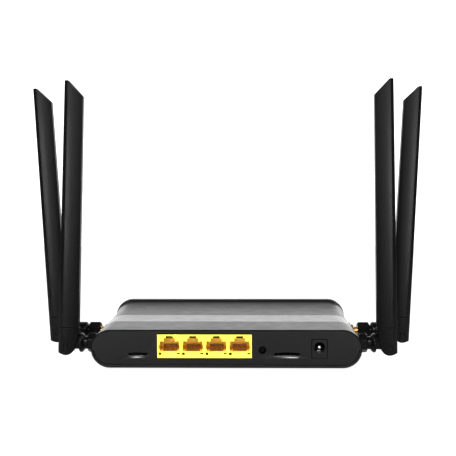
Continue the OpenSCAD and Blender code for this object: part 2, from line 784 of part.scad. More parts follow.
// Solid blade between two heights above the pin, thinner at the upper end.
module blade_solid(w0, w1) {
    ring = blade_ring();
    n = len(ring);
    points = concat([for (p = ring) [p.x, p.y, w0]], [for (p = ring) [p.x, p.y * 6.4 / blade_t, w1]]);
    faces = concat([[for (i = [n - 1 : -1 : 0]) i]], [[for (i = [0 : n - 1]) n + i]],
        [for (i = [0 : n - 1]) [i, (i + 1) % n, n + (i + 1) % n]],
        [for (i = [0 : n - 1]) [i, n + (i + 1) % n, n + i]]);
    intersection() {
        along_y(-10, 10) antenna_outline();
        polyhedron(points = points, faces = faces);
    }
}

module antenna_base(pair, side) {
    color([0.05, 0.05, 0.05]) leaned(pair, side) difference() {
        union() {
            intersection() {
                along_y(-10, 10) antenna_outline();
                translate([0, 0, -10]) linear_extrude(seam_up + 10) polygon(blade_ring());
            }
            // plug that the sleeve slides over
            block([-4.2, -2.2, seam_up - 0.5], [2.6, 2.2, seam_up + 8]);
        }
        rod_y(0, 0, -blade_t / 2 + 0.8, blade_t / 2 - 0.8, pin_r + 0.03, 64);
        // shallow dimples that mark the hinge
        for (end = [0, 1]) mirror([0, end, 0]) translate([0, blade_t / 2 - 0.3, 0]) rotate([-90, 0, 0])
            cylinder(h = 0.5, r1 = 1.2, r2 = 1.7, $fn = 64);
        // slot for the tongue of the swivel base
        along_y(-slot_t / 2, slot_t / 2) {
            circle(tongue_r + 0.35, $fn = 64);
            translate([-12, -12]) square([12, 19.6]);
            translate([-12, -12]) square([14.4, 12]);
        }
    }
}

module antenna_sleeve(pair, side) {
    color([0.05, 0.05, 0.05]) leaned(pair, side) difference() {
        blade_solid(seam_up + 0.1, antenna_len + 1);
        block([-4.3, -2.3, seam_up - 1], [2.7, 2.3, antenna_len - 12]);
    }
}

// Thin brass strip on a carrier board inside the sleeve.
module radiator(pair, side) {
    color([0.7, 0.55, 0.25]) leaned(pair, side) union() {
        block([-3.4, -0.4, seam_up + 8.2], [1.8, 0.4, antenna_len - 22]);
        translate([-0.8, 0, seam_up + 8.2]) translate([0, 1.1, 0]) cylinder(h = 60, r = 0.8, $fn = 24);
    }
}

module draw_antenna_part(name, pair, side) {
    on_side(side) {
        if (name == "coupling_nut") coupling_nut(pair);
        if (name == "connector_core") connector_core(pair);
        if (name == "swivel_base") swivel_base(pair);
        if (name == "hinge_pin") hinge_pin(pair);
        if (name == "antenna_base") antenna_base(pair, side);
        if (name == "antenna_sleeve") antenna_sleeve(pair, side);
        if (name == "radiator") radiator(pair, side);
    }
}

// ---------- nodes ----------

bottom_cover();
top_cover();
top_trim_strip();
rear_panel();
front_panel();
rubber_feet();
cover_screws();
circuit_board();
board_screws();
lan_port_housing();
lan_contacts();
lan_inserts();
lan_transformers();
power_jack();
power_jack_contacts();
reset_switch();
reset_button();
sim_socket();
card_socket();
processor();
heat_sink();
memory_chips();
modem_card();
modem_socket();
modem_screws();
power_coils();
capacitors();
status_leds();
light_pipes();
antenna_jacks();
jack_nuts();
antenna_leads();
for (pair = [0, 1], side = [0, 1], part = ["coupling_nut", "connector_core", "swivel_base",
    "hinge_pin", "antenna_base", "antenna_sleeve", "radiator"])
    draw_antenna_part(part, pair, side);
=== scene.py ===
"""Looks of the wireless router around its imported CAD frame: meshes, materials, studio and camera."""

import json
import math

import bmesh
import bpy
from mathutils import Matrix, Vector


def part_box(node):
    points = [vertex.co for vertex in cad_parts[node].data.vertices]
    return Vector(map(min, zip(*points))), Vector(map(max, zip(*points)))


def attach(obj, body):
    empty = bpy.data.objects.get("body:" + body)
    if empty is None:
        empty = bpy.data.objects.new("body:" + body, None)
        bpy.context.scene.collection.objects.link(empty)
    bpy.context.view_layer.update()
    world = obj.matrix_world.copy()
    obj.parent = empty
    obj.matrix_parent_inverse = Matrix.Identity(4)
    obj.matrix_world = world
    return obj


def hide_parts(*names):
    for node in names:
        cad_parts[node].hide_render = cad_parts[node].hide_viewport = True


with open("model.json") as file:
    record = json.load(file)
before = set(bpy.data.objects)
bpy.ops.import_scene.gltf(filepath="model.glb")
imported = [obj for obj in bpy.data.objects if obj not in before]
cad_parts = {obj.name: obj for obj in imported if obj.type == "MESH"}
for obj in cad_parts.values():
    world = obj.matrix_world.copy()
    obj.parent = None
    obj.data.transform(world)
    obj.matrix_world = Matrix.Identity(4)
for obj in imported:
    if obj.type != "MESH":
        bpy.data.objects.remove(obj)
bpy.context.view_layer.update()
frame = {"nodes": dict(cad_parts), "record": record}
NODES = frame["nodes"]
MM = 0.001
TAU = 2 * math.pi

# ---------------------------------------------------------------- sizes, in millimetres


def box_mm(node):
    """Lowest and highest corner of a CAD node."""
    lo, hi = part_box(node)
    return Vector(lo) / MM, Vector(hi) / MM


CASE_LO, CASE_HI = box_mm("bottom_cover")
PANEL_LO, PANEL_HI = box_mm("rear_panel")
STRIP_LO, STRIP_HI = box_mm("top_trim_strip")
PORTS_LO, PORTS_HI = box_mm("lan_port_housing")
POWER_LO, POWER_HI = box_mm("power_jack")
BUTTON_LO, BUTTON_HI = box_mm("reset_button")

# Casing.
BASE_Z = CASE_LO.z
PARTING_Z = CASE_HI.z
ROOF_Z = STRIP_HI.z
SIDE_X = PANEL_HI.x + 0.65
CORNER_R = 11.45

# Rear sockets.
PORT_PITCH = 14.0
PORT_FLOOR = 3.8
PORT_ROOF = 12.0
PORT_MIDDLES = [(PORTS_LO.x + PORTS_HI.x) / 2 + (k - 1.5) * PORT_PITCH for k in range(4)]
SLOT_WIDTHS = {"sim_socket": 15.3, "card_socket": 11.3}
SLOT_Z, SLOT_HALF = 9.4, 0.85
SCOOP_Z, SCOOP_HEIGHT, SCOOP_DEPTH, SCOOP_MORE_WIDTH = 8.65, 4.3, 1.1, 0.6
BUTTON_HOLE_R = 2.3

# Antennas, with their leans in degrees and the sizes of a blade from its hinge pin.
JACK_Z = PARTING_Z
JACK_ENDS = {"rear": 84.5, "front": 90.5}
COLLAR_LENGTHS = {"rear": 3.0, "front": 12.2}
COLLAR_TO_PIN = 8.3
LEANS = {"rear_left": -2.0, "rear_right": -1.1, "front_left": 3.3, "front_right": 2.7}
PIVOT_R = 5.4
BLADE_IN, BLADE_OUT = -7.5, 5.0
BLADE_FOOT, BLADE_TIP = 11.8, 165.0

# ---------------------------------------------------------------- camera


FOCAL_LENGTH, SENSOR_WIDTH = 66.93, 36
CAMERA_PLACE = (0.01427, -0.5524, 0.11307)
YAW, PITCH, ROLL = 0.0257, -0.0563, 0.0033


def make_camera():
    """A camera behind the router, above it and a little to the right, that looks along +Y."""
    data = bpy.data.cameras.new("camera")
    data.lens, data.sensor_width = FOCAL_LENGTH, SENSOR_WIDTH
    data.clip_start, data.clip_end = 0.01, 20
    camera = bpy.data.objects.new("camera", data)
    bpy.context.scene.collection.objects.link(camera)
    turn = (
        Matrix.Rotation(YAW, 4, "Z")
        @ Matrix.Rotation(PITCH, 4, "X")
        @ Matrix.Rotation(ROLL, 4, "Y")
        @ Matrix.Rotation(math.pi / 2, 4, "X")
    )
    camera.matrix_world = Matrix.Translation(CAMERA_PLACE) @ turn
    bpy.context.scene.camera = camera


# ---------------------------------------------------------------- materials


class Nodes:
    """A short way to add and join shader nodes of one material."""

    def __init__(self, name):
        self.material = bpy.data.materials.new(name)
        self.material.use_nodes = True
        self.tree = self.material.node_tree
        self.tree.nodes.clear()
        self.output = self.add("ShaderNodeOutputMaterial")
        self.shader = self.add("ShaderNodeBsdfPrincipled")
        self.tree.links.new(self.shader.outputs[0], self.output.inputs[0])
        self.place = self.add("ShaderNodeTexCoord").outputs["Object"]

    def add(self, kind, **settings):
        node = self.tree.nodes.new(kind)
        for key, value in settings.items():
            setattr(node, key, value)
        return node

    def link(self, out, socket):
        self.tree.links.new(out, socket)

    def set(self, **values):
        for key, value in values.items():
            self.shader.inputs[key.replace("_", " ")].default_value = value
        return self

    def noise(self, scale, detail=3.0, stretch=None):
        """Noise at a number of cells per metre; stretch scales the axes first."""
        place = self.place
        if stretch:
            mapping = self.add("ShaderNodeMapping")
            mapping.inputs["Scale"].default_value = stretch
            self.link(place, mapping.inputs["Vector"])
            place = mapping.outputs["Vector"]
        noise = self.add("ShaderNodeTexNoise")
        noise.inputs["Scale"].default_value = scale
        noise.inputs["Detail"].default_value = detail
        self.link(place, noise.inputs["Vector"])
        return noise.outputs["Fac"]

    def axes(self):
        """The x, y and z of a point of the piece, in metres, by their capital letters."""
        split = self.add("ShaderNodeSeparateXYZ")
        self.link(self.place, split.inputs[0])
        return split.outputs

    def math(self, operation, *values):
        """One sum or comparison of numbers and node outputs."""
        node = self.add("ShaderNodeMath", operation=operation)
        for value, socket in zip(values, node.inputs):
            if isinstance(value, float):
                socket.default_value = value
            else:
                self.link(value, socket)
        return node.outputs[0]

    def ramp(self, fac, stops):
        """Colour ramp from (position, value or colour) pairs."""
        node = self.add("ShaderNodeValToRGB")
        ramp = node.color_ramp
        while len(ramp.elements) < len(stops):
            ramp.elements.new(0.5)
        for element, (position, colour) in zip(ramp.elements, stops):
            element.position = position
            c = colour if isinstance(colour, tuple) else (colour,) * 3
            element.color = (*c[:3], 1)
        self.link(fac, node.inputs["Fac"])
        return node.outputs["Color"]

    def varied(self, socket, fac, stops):
        """Lets a ramp drive an input of the shader."""
        self.link(self.ramp(fac, stops), self.shader.inputs[socket])
        return self

    def bump(self, height, strength, distance):
        bump = self.add("ShaderNodeBump")
        bump.inputs["Strength"].default_value = strength
        bump.inputs["Distance"].default_value = distance
        self.link(height, bump.inputs["Height"])
        self.link(bump.outputs["Normal"], self.shader.inputs["Normal"])
        return self


def tint(colour, k):
    """A colour made darker or lighter."""
    return tuple(min(1.0, c * k) for c in colour)


FINE_GRAIN = 9000
GRAIN_DEPTH = 0.01 * MM


def plastic(name, colour, rough, grain=FINE_GRAIN, strength=0.25, **more):
    """Moulded plastic: fine spark-eroded grain, with faint wear in colour and gloss."""
    m = Nodes(name).set(**more)
    m.varied("Base Color", m.noise(60, 4), [(0.3, tint(colour, 0.9)), (0.7, tint(colour, 1.1))])
    m.varied("Roughness", m.noise(140, 5), [(0.3, rough * 0.9), (0.7, rough * 1.1)])
    return m.bump(m.noise(grain, 2), strength, GRAIN_DEPTH).material


def antenna_plastic():
    """Black plastic with fine texture on the blades, smoother on the nuts, necks and collars."""
    rear_reach, front_reach, between_pairs, top = 94 * MM, 107.5 * MM, -5 * MM, 19.5 * MM
    m = Nodes("antenna_black").set(Base_Color=(0.0022, 0.0022, 0.0024, 1), Specular_IOR_Level=0.05)
    axes = m.axes()
    front = m.math("GREATER_THAN", axes["Y"], between_pairs)
    reach = m.math("MULTIPLY_ADD", front, front_reach - rear_reach, rear_reach)
    near_case = m.math("LESS_THAN", m.math("ABSOLUTE", axes["X"]), reach)
    turned_part = m.math("MULTIPLY", near_case, m.math("LESS_THAN", axes["Z"], top))
    wear = m.math("MULTIPLY_ADD", m.noise(140, 5), 0.06, 0.29)
    m.link(m.math("MULTIPLY_ADD", turned_part, -0.12, wear), m.shader.inputs["Roughness"])
    return m.bump(m.noise(FINE_GRAIN, 2), 0.2, GRAIN_DEPTH).material


def metal(name, colour, rough, stretch=(1, 1, 1)):
    """Bare or plated metal with fine machining marks."""
    m = Nodes(name).set(Metallic=1.0)
    marks = m.noise(2500, 3, stretch)
    m.varied("Base Color", m.noise(300, 3), [(0.3, tint(colour, 0.9)), (0.7, tint(colour, 1.06))])
    m.varied("Roughness", marks, [(0.3, rough * 0.8), (0.7, rough * 1.25)])
    return m.bump(marks, 0.15, 2 * GRAIN_DEPTH).material


def clear_plastic():
    """Cast light pipes, a little frosted."""
    m = Nodes("clear_plastic").set(Base_Color=(0.9, 0.95, 0.97, 1), Transmission_Weight=0.9, IOR=1.49)
    m.varied("Roughness", m.noise(500, 3), [(0.3, 0.08), (0.7, 0.2)])
    return m.material


def socket_yellow():
    """Bright yellow plastic, with painted light: it turns amber deeper in the sockets as painted bounce
    light and shade, and painted shade makes it dark in the comb slots, in the recess over each mouth and
    on three small slots round each socket.
    """
    # Left, right, low and high of the three small slots painted dark as shade, from the middle of a socket
    # and from the foot of the block.
    lights = ((-2.1, 2.1, 12.0, 13.0), (-6.4, -4.7, 1.8, 3.3), (4.6, 6.3, 2.2, 2.8))
    m = Nodes("yellow_plastic")
    axes = m.axes()

    def step(axis, low, high):
        node = m.add("ShaderNodeMapRange")
        node.inputs["From Min"].default_value = low * MM
        node.inputs["From Max"].default_value = high * MM
        m.link(axes[axis], node.inputs["Value"])
        return node.outputs[0]

    face, floor, roof = PORTS_LO.y, PORTS_LO.z + PORT_FLOOR, PORTS_LO.z + PORT_ROOF
    # Painted bounce light and shade: from 0.2 to 1.6 mm in from the face the yellow turns amber.
    inside = step("Y", face + 0.2, face + 1.6)
    # Painted shade in the comb slots under the floor and in the recess over the mouth, starting just in
    # from the face.
    narrow = m.math("MAXIMUM", step("Z", floor - 0.1, floor - 0.3), step("Z", roof, roof + 0.1))
    dark = m.math("MULTIPLY", narrow, step("Y", face + 0.02, face + 0.08))

    # Painted shade: each small slot round a socket is a dark mark on the face.
    across = m.math("SUBTRACT", axes["X"], PORT_MIDDLES[0] * MM)
    from_middle = m.math("WRAP", across, PORT_PITCH / 2 * MM)
    from_middle.node.inputs[2].default_value = -PORT_PITCH / 2 * MM
    for left, right, low, high in lights:
        low, high = PORTS_LO.z + low, PORTS_LO.z + high
        right_of = m.math("GREATER_THAN", from_middle, left * MM)
        left_of = m.math("LESS_THAN", from_middle, right * MM)
        level = m.math("MULTIPLY", step("Z", low - 0.05, low), step("Z", high + 0.05, high))
        light = m.math("MULTIPLY", m.math("MULTIPLY", right_of, left_of), level)
        dark = m.math("MAXIMUM", dark, light)

    # Random tone plus the painted amber deeper in: yellow at the face, amber as painted bounce light and
    # shade.
    shade = m.math("MULTIPLY_ADD", m.noise(90, 3), 0.06, inside)
    colour = m.add("ShaderNodeMix", data_type="RGBA")
    m.link(dark, colour.inputs["Factor"])
    m.link(m.ramp(shade, [(0.03, (1.0, 0.88, 0.06)), (0.95, (0.97, 0.6, 0.06))]), colour.inputs["A"])
    # Colour of the painted shade.
    colour.inputs["B"].default_value = (0.02, 0.008, 0.003, 1)
    m.link(colour.outputs["Result"], m.shader.inputs["Base Color"])
    # Where the shade is painted, the gloss is taken away too.
    m.link(m.math("MULTIPLY_ADD", dark, -0.4, 0.4), m.shader.inputs["Specular IOR Level"])
    m.varied("Roughness", m.noise(140, 5), [(0.3, 0.34), (0.7, 0.42)])
    return m.bump(m.noise(FINE_GRAIN, 2), 0.2, GRAIN_DEPTH).material


def circuit_green():
    """Solder mask with faint copper tracks under it."""
    m = Nodes("board_green").set(Coat_Weight=0.3)
    tracks = m.add("ShaderNodeTexWave", wave_type="BANDS", bands_direction="DIAGONAL")
    tracks.inputs["Scale"].default_value = 420
    tracks.inputs["Distortion"].default_value = 6
    m.link(m.place, tracks.inputs["Vector"])
    lines = tracks.outputs["Fac"]
    m.varied("Base Color", lines, [(0.42, (0.008, 0.07, 0.03)), (0.5, (0.02, 0.14, 0.06))])
    m.varied("Roughness", m.noise(200, 3), [(0.3, 0.28), (0.7, 0.4)])
    return m.bump(lines, 0.3, 3 * GRAIN_DEPTH).material


# Colour, roughness and what else differs from a plain moulding.
BLACK_PLASTICS = {
    "satin_black": ((0.004, 0.004, 0.0044), 0.34, {"Specular_IOR_Level": 0.11}),
    "gloss_black": ((0.012, 0.012, 0.0125), 0.24, {"strength": 0.05, "Specular_IOR_Level": 0.3}),
    "smoked_window": ((0.008, 0.008, 0.009), 0.1, {"strength": 0.03, "Coat_Weight": 1.0}),
    "rubber": ((0.02, 0.02, 0.02), 0.8, {"grain": 4000, "strength": 0.5}),
    "part_black": ((0.004, 0.004, 0.0044), 0.4, {"Specular_IOR_Level": 0.1}),
    "lead_black": ((0.015, 0.015, 0.015), 0.5, {}),
    # Painted shade: near-black with almost no gloss, for the wall of the reset button's hole, its cap and
    # the switch behind it.
    "painted_shade_black": ((0.001, 0.001, 0.001), 0.6, {"Specular_IOR_Level": 0.03}),
    "thumbed_black": ((0.006, 0.006, 0.0064), 0.3, {"Specular_IOR_Level": 0.5}),
}
MATERIALS = {
    **{name: plastic(name, *look, **more) for name, (*look, more) in BLACK_PLASTICS.items()},
    "antenna_black": antenna_plastic(),
    "yellow_plastic": socket_yellow(),
    # Painted shade: the carrier behind the socket wires is coloured dark brown as the shade between them.
    "carrier_painted_shade": plastic("carrier_painted_shade", (0.16, 0.07, 0.015), 0.5),
    "clear_plastic": clear_plastic(),
    "steel": metal("steel", (0.62, 0.62, 0.63), 0.28),
    "gold": metal("gold", (0.6, 0.4, 0.16), 0.2),
    "aluminium": metal("aluminium", (0.8, 0.8, 0.82), 0.3, (0.05, 1, 1)),
    "board_green": circuit_green(),
}
SLOTS = {part["node"]: part["material_slot"] for part in frame["record"]["subparts"]}
# Two nodes behind openings take painted shade instead of their slot's material.
SHADED_NODES = {"lan_inserts": "carrier_painted_shade", "reset_switch": "painted_shade_black"}
BODIES = {}
for body, members in frame["record"]["behaviour"]["bodies"].items():
    BODIES.update(dict.fromkeys(members, body))


def dress_cad_nodes():
    """Every CAD node takes the material of its slot, apart from two behind openings, which are painted
    dark as shade.
    """
    for name, obj in NODES.items():
        obj.data.materials.clear()
        obj.data.materials.append(MATERIALS[SHADED_NODES.get(name, SLOTS[name])])


# ---------------------------------------------------------------- mesh helpers, all in millimetres


def new_mesh(bm):
    """A mesh of its own from a finished bmesh, with its faces turned outwards."""
    bmesh.ops.recalc_face_normals(bm, faces=bm.faces)
    mesh = bpy.data.meshes.new("shape")
    bm.to_mesh(mesh)
    bm.free()
    return mesh


def prism(outline, axis, low, high):
    """A solid from low to high along an axis. Its outline has the other two, in alphabetical order."""
    k = "xyz".index(axis)
    bm = bmesh.new()
    rings = []
    for level in (low, high):
        ring = []
        for point in outline:
            place = list(point)
            place.insert(k, level)
            ring.append(bm.verts.new(place))
        rings.append(ring)
        bm.faces.new(ring)
    n = len(outline)
    for i in range(n):
        bm.faces.new((rings[0][i], rings[0][(i + 1) % n], rings[1][(i + 1) % n], rings[1][i]))
    return new_mesh(bm)


def block(lo, hi):
    """A box between two corners."""
    return prism([(lo[0], lo[2]), (hi[0], lo[2]), (hi[0], hi[2]), (lo[0], hi[2])], "y", lo[1], hi[1])


def arc(centre, radius, start, end, steps=32):
    """Points of an arc in a plane, from one angle to another in degrees."""
    angles = [math.radians(start + (end - start) * k / steps) for k in range(steps + 1)]
    return [(centre[0] + radius * math.cos(a), centre[1] + radius * math.sin(a)) for a in angles]


def rounded(start, radius, deep, wide, steps=8):
    """Profile for turned() of an edge that is rounded off at its low end, as a quarter of an ellipse."""
    angles = [math.pi / 2 * k / steps for k in range(steps + 1)]
    return [(start + deep * (1 - math.cos(a)), radius - wide + wide * math.sin(a)) for a in angles]


def turned(profile, centre, axis="x", steps=96, shape=None):
    """A turned solid from (place along the axis, radius) pairs. A profile that starts and ends on the
    axis is solid, and any other is a closed loop round a bore. shape may change a radius by angle."""
    k = "xyz".index(axis)
    bm = bmesh.new()
    rings = []
    for along, radius in profile:
        ring = []
        for j in range(steps if radius else 1):
            angle = TAU * j / steps
            r = shape(along, radius, angle) if shape else radius
            place = [r * math.cos(angle), r * math.sin(angle)]
            place.insert(k, along)
            ring.append(bm.verts.new(Vector(place) + Vector(centre)))
        rings.append(ring)
    ends = rings[1:] + (rings[:1] if profile[0][1] else [])
    for a, b in zip(rings, ends):
        for j in range(steps):
            corners = [a[j % len(a)], a[(j + 1) % len(a)], b[(j + 1) % len(b)], b[j % len(b)]]
            corners = list(dict.fromkeys(corners))
            if len(corners) > 2:
                bm.faces.new(corners)
    return new_mesh(bm)


def rod(low, high, radius, centre, axis="x", steps=96):
    """A plain cylinder from low to high along an axis."""
    return turned([(low, 0), (low, radius), (high, radius), (high, 0)], centre, axis, steps)


def combined(mesh, *steps):
    """Booleans in turn, each an operation and the mesh it takes."""
    work = bpy.data.objects.new("work", mesh)
    bpy.context.scene.collection.objects.link(work)
    helpers = [work]
    for operation, other in steps:
        helper = bpy.data.objects.new("helper", other)
        bpy.context.scene.collection.objects.link(helper)
        modifier = work.modifiers.new("cut", "BOOLEAN")
        modifier.operation, modifier.solver, modifier.object = operation, "EXACT", helper
        helpers.append(helper)
    graph = bpy.context.evaluated_depsgraph_get()
    result = bpy.data.meshes.new_from_object(work.evaluated_get(graph))
    for helper in helpers:
        bpy.data.objects.remove(helper)
    return result


def welded(mesh):
    """Joins doubled points."""
    bm = bmesh.new()
    bm.from_mesh(mesh)
    bmesh.ops.remove_doubles(bm, verts=bm.verts, dist=0.002)
    bm.to_mesh(mesh)
    bm.free()
    return mesh


def smooth_by_angle(mesh, degrees):
    """Smooth faces, with sharp edges only where the surface turns by more than the angle."""
    bm = bmesh.new()
    bm.from_mesh(mesh)
    for face in bm.faces:
        face.smooth = True
    for edge in bm.edges:
        edge.smooth = len(edge.link_faces) == 2 and edge.calc_face_angle(math.pi) < math.radians(degrees)
    bm.to_mesh(mesh)
    bm.free()


def piece(name, mesh, node, edge=0.0, segments=3, sharp=35):
    """Links a mesh in millimetres as the piece that stands for a CAD node, with rounded edges."""
    mesh.transform(Matrix.Scale(MM, 4))
    smooth_by_angle(mesh, sharp)
    mesh.name = name
    obj = bpy.data.objects.new(name, mesh)
    bpy.context.scene.collection.objects.link(obj)
    slot = SLOTS[node]
    mesh.materials.clear()
    mesh.materials.append(MATERIALS[slot])
    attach(obj, BODIES[node])
    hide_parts(node)
    if edge:
        bevel = obj.modifiers.new("rounded_edges", "BEVEL")
        bevel.width, bevel.segments = edge * MM, segments
        bevel.limit_method, bevel.angle_limit = "ANGLE", math.radians(sharp)
        bevel.harden_normals, bevel.miter_outer = True, "MITER_ARC"
        bevel.use_clamp_overlap = False
    return obj


def refined(node, edge, **options):
    """A copy of a CAD node with clean flat faces and rounded edges, in its place."""
    mesh = NODES[node].data.copy()
    mesh.transform(Matrix.Scale(1 / MM, 4))
    return piece(node + "_shape", welded(mesh), node, edge, **options)


# ---------------------------------------------------------------- casing


def section(inset):
    """Outline of the casing's section at the rear in x and z, inset by a wall."""
    r = CORNER_R - inset
    x, low, high = SIDE_X - CORNER_R, BASE_Z + CORNER_R, ROOF_Z - CORNER_R
    outline = []
    for quarter, corner in enumerate(((x, high), (-x, high), (-x, low), (x, low))):
        outline += arc(corner, r, 90 * quarter, 90 * quarter + 90, 48)
    return outline


def make_covers():
    """Top and bottom cover and the light window, with rounded edges."""
    refined("bottom_cover", 0.25, segments=2)
    refined("top_cover", 0.25, segments=2)
    refined("front_panel", 0.3, sharp=50)


def make_strip():
    """The glossy band that wraps over the roof between two narrow joints."""
    foot, thick = STRIP_LO.z, 0.7

    def half_ring(inset):
        r = CORNER_R - inset
        x = SIDE_X - CORNER_R + math.sqrt(r * r - (foot - ROOF_Z + CORNER_R) ** 2)
        return [(x, foot), *[p for p in section(inset) if p[1] >= foot], (-x, foot)]

    outline = half_ring(0) + half_ring(thick)[::-1]
    piece("trim_strip", prism(outline, "y", STRIP_LO.y, STRIP_HI.y), "top_trim_strip", 0.15, sharp=40)


def panel_outline():
    """Outline of the rear panel: wide above the parting line and set in by a rim below it."""
    upper_r, lower_r = CORNER_R - 0.72, CORNER_R - 1.92
    step_z = PARTING_Z + 0.15
    x, low, high = SIDE_X - CORNER_R, BASE_Z + CORNER_R, ROOF_Z - CORNER_R
    upper, lower = (math.degrees(math.asin((low - step_z) / r)) for r in (upper_r, lower_r))
    return [
        *arc((x, low), upper_r, -upper, 0, 4),
        *arc((x, high), upper_r, 0, 90),
        *arc((-x, high), upper_r, 90, 180),
        *arc((-x, low), upper_r, 180, 180 + upper, 4),
        *arc((-x, low), lower_r, 180 + lower, 270),
        *arc((x, low), lower_r, 270, 360 - lower),
    ]


def finger_scoop(x, width):
    """A shallow dip, cut by a large ring with a round section that lies flat in front of the panel."""
    depth, half_height, around, across = SCOOP_DEPTH, SCOOP_HEIGHT / 2, 256, 96
    r = (half_height**2 + depth**2) / (2 * depth)
    ring_r = (width**2 / 4 / depth + depth) / 2 - r
    bm = bmesh.new()
    rings = []
    for i in range(around):
        turn = TAU * i / around
        ring = []
        for j in range(across):
            tilt = TAU * j / across
            reach, z = ring_r + r * math.cos(tilt), r * math.sin(tilt)
            ring.append(bm.verts.new((reach * math.sin(turn), reach * math.cos(turn), z)))
        rings.append(ring)
    for a, b in zip(rings, rings[1:] + rings[:1]):
        for j in range(across):
            k = (j + 1) % across
            bm.faces.new((a[j], a[k], b[k], b[j]))
    mesh = new_mesh(bm)
    mesh.transform(Matrix.Translation((x, PANEL_LO.y - ring_r - r + depth, SCOOP_Z)))
    return mesh


def make_rear_panel():
    """The socket panel with its openings and finger scoops."""
    y0, y1 = PANEL_LO.y, PANEL_HI.y
    near, far = y0 - 1, y1 + 1
    button = (BUTTON_LO + BUTTON_HI) / 2
    slots = []
    for node, width in SLOT_WIDTHS.items():
        lo, hi = box_mm(node)
        slots.append(((lo.x + hi.x) / 2, width, width + SCOOP_MORE_WIDTH))

    def opening(lo, hi, gap):
        return block((lo.x - gap, near, lo.z - gap), (hi.x + gap, far, hi.z + gap))

    cuts = [
        opening(PORTS_LO, PORTS_HI, 0.4),
        opening(POWER_LO, POWER_HI, 0.3),
        rod(near, far, BUTTON_HOLE_R, (button.x, 0, button.z), "y", 64),
    ]
    low, high = SLOT_Z - SLOT_HALF, SLOT_Z + SLOT_HALF
    for x, width, scoop_width in slots:
        cuts.append(finger_scoop(x, scoop_width))
        cuts.append(block((x - width / 2, near, low), (x + width / 2, far, high)))
    mesh = combined(prism(panel_outline(), "y", y0, y1), *[("DIFFERENCE", cut) for cut in cuts])

    panel = piece("socket_panel", welded(mesh), "rear_panel").data
    panel.materials.append(MATERIALS["painted_shade_black"])
    panel.materials.append(MATERIALS["thumbed_black"])
    slack = 0.05
    for face in panel.polygons:
        at = face.center / MM
        dipped = y0 < at.y - 0.02 < y0 + SCOOP_DEPTH and at.z < SLOT_Z - 0.2
        # The wall of the button hole takes the painted shade black; the finger scoops take the glossier
        # black.
        if math.hypot(at.x - button.x, at.z - button.z) < BUTTON_HOLE_R + slack:
            face.material_index = 1
        elif dipped and any(abs(at.x - x) < scoop_width / 2 + slack for x, _, scoop_width in slots):
            face.material_index = 2


# ---------------------------------------------------------------- sockets


def make_contacts():
    """Springy wires that rise from the mouth of each socket, over their roots in the comb slots."""
    wires, pitch, wire_r, root_r, rise = 8, 1.02, 0.27, 0.2, math.radians(25)
    face, floor = PORTS_LO.y, PORTS_LO.z + PORT_FLOOR
    bm = bmesh.new()
    for middle in PORT_MIDDLES:
        for wire in range(wires):
            x = middle + (wire - (wires - 1) / 2) * pitch
            slope = rod(0, 7, wire_r, (0, 0, 0), "y", 16)
            slope.transform(Matrix.Rotation(rise, 4, "X"))
            slope.transform(Matrix.Translation((x, face + 1.9, floor - 0.45)))
            bm.from_mesh(slope)
            bm.from_mesh(rod(face + 1.7, face + 10.5, root_r, (x, 0, floor - 0.55), "y", 12))
    piece("contact_wires", new_mesh(bm), "lan_contacts")


def make_power_jack():
    """Square face over a round-topped body with a bore, and inside it the centre pin and the spring."""
    y0, y1 = POWER_LO.y, POWER_HI.y
    left, right, foot = POWER_LO.x, POWER_HI.x, POWER_LO.z
    middle, half = (left + right) / 2, (right - left) / 2
    hole_z, bore_r, bore_end, face_end = foot + 6.3, 3.1, y0 + 11, y0 + 3.4
    hole = (middle, 0, hole_z)
    face = block((left, y0, foot), (right, face_end, POWER_HI.z))
    body = [(left, foot), (right, foot), *arc((middle, hole_z), half, 0, 180, 48)]
    bevel = 0.3
    bore = [(y0 - 1, 0), (y0 - 1, bore_r + bevel), (y0, bore_r + bevel), (y0 + bevel, bore_r)]
    bore += [(bore_end, bore_r), (bore_end, 0)]
    mesh = combined(
        face,
        ("UNION", prism(body, "y", face_end - 0.1, y1)),
        ("DIFFERENCE", turned(bore, hole, "y", 96)),
    )
    piece("power_socket", welded(mesh), "power_jack", 0.12, segments=2)

    pin_y, pin_r = box_mm("power_jack_contacts")[0].y, 1.0
    nose = [(pin_y, 0), *rounded(pin_y, pin_r, 0.6, 0.65)]
    pin = turned([*nose, (bore_end, pin_r), (bore_end, 0)], hole, "y", 48)
    spring = block((middle - 1, y0 + 5, hole_z - 2.85), (middle + 1, bore_end, hole_z - 2.55))
    piece("power_contacts", combined(pin, ("UNION", spring)), "power_jack_contacts")


def make_reset_button():
    """Cap with a rounded rim, painted near-black as the shade in its hole."""
    middle = (BUTTON_LO + BUTTON_HI) / 2
    r = (BUTTON_HI.x - BUTTON_LO.x) / 2
    front, back = BUTTON_LO.y, BUTTON_HI.y
    profile = [(front, 0), (front, r / 2), *rounded(front, r, 0.4, 0.4), (back, r), (back, 0)]
    cap = turned(profile, (middle.x, 0, middle.z), "y", 64)
    piece("reset_cap", cap, "reset_button").data.materials[0] = MATERIALS["painted_shade_black"]


# ---------------------------------------------------------------- antennas


def hexagon(flats, turn=0.0):
    """Radius of a hexagon at an angle, for turned()."""

    def radius(angle):
        a = (angle - turn) % (math.pi / 3)
        return flats / 2 / math.cos(a - math.pi / 6)

    return radius


